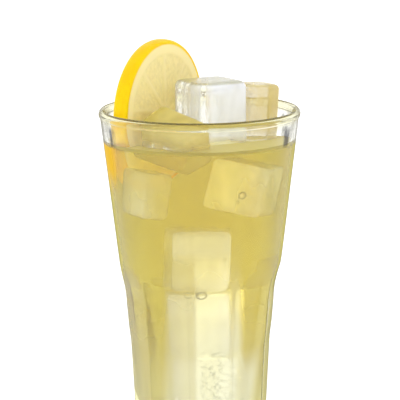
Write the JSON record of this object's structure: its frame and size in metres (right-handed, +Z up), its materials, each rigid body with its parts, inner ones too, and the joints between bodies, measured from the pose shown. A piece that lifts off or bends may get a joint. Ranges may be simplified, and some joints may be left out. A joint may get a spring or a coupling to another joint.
{
  "type": "glass of highball",
  "caption": "Tall flared drinking glass with pressed flat facets round its heavy base, filled with a pale yellow iced drink, with a round slice of lemon and ice standing out of it.",
  "frame": {"origin": "centre of the tumbler's foot, on the surface it stands on", "axes": "+Z up along the tumbler's axis; -Y is the front, from which the cut face of the lemon slice is seen"},
  "size_m": [0.0842, 0.0842, 0.1739],
  "materials": {
    "glass": "clear polished",
    "drink": "clear pale yellow liquid",
    "lemon": "moist fruit",
    "ice": "clear wet ice"
  },
  "bodies": {
    "root": {"tumbler": "glass", "drink": "drink", "lemon_slice": "lemon", "ice_tall": "ice", "ice_back": "ice", "ice_front": "ice"}
  },
  "joints": []
}
